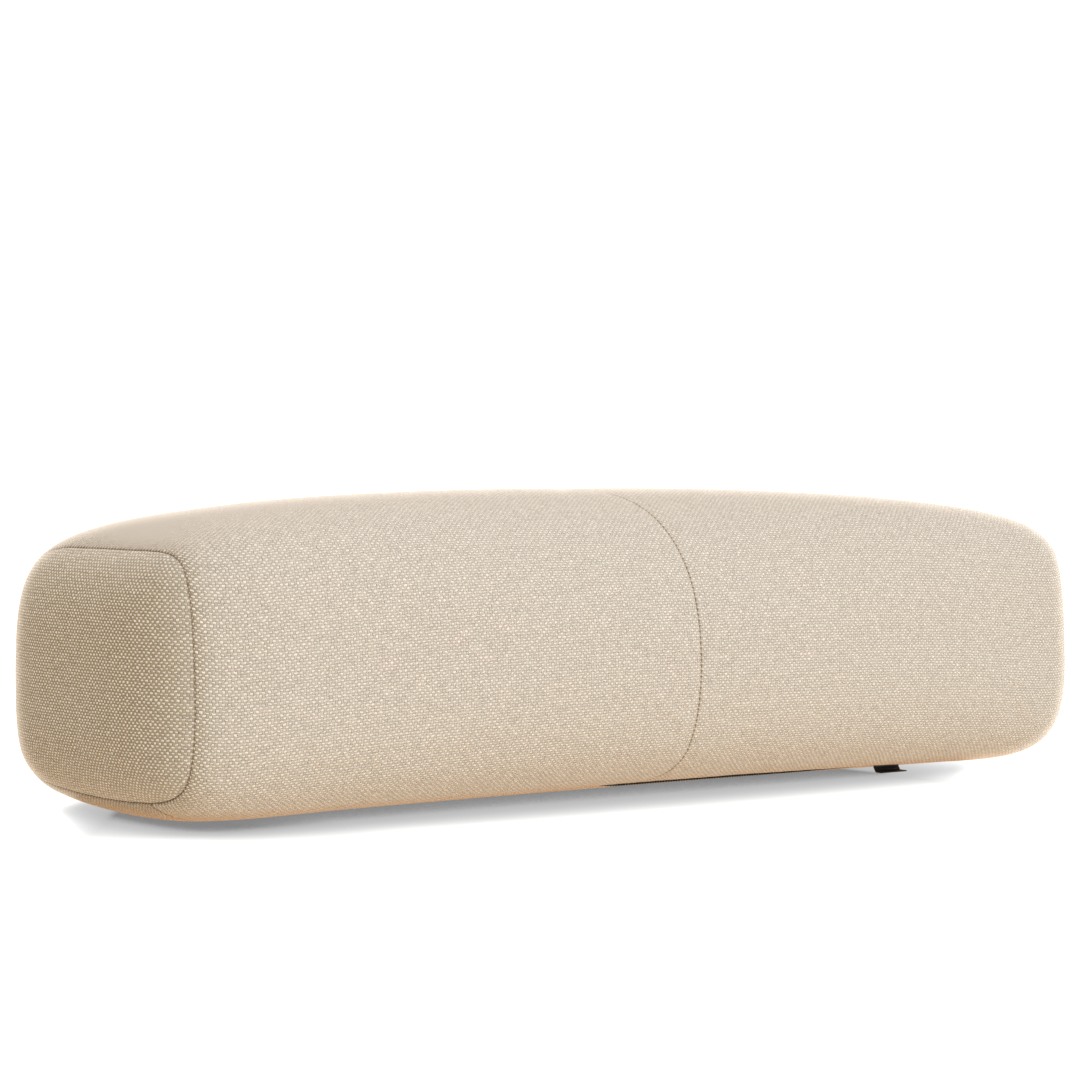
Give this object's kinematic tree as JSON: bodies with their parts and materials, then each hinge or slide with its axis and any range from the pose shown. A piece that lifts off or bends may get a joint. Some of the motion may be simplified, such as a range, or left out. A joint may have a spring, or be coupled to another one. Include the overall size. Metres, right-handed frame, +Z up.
{
  "type": "daybed cushion",
  "caption": "Long, firmly filled block cushion with a crowned body, domed end panels and a woven wool cover, for the back or end of a daybed.",
  "frame": {"origin": "middle of the footprint, on the surface that the cushion lies on", "axes": "+X along the cushion's length, towards the label's end; -Y is the front, where the zip and label are; +Z up"},
  "size_m": [0.948, 0.356, 0.251],
  "materials": {
    "woven_wool": "chunky plain weave, cream yarn on tan ground",
    "zip_nylon": "moulded black zip chain on woven tape",
    "label_satin": "black satin-woven tape, bare"
  },
  "bodies": {
    "root": {"cushion": "woven_wool", "zip": "zip_nylon", "label": "label_satin"}
  },
  "joints": []
}
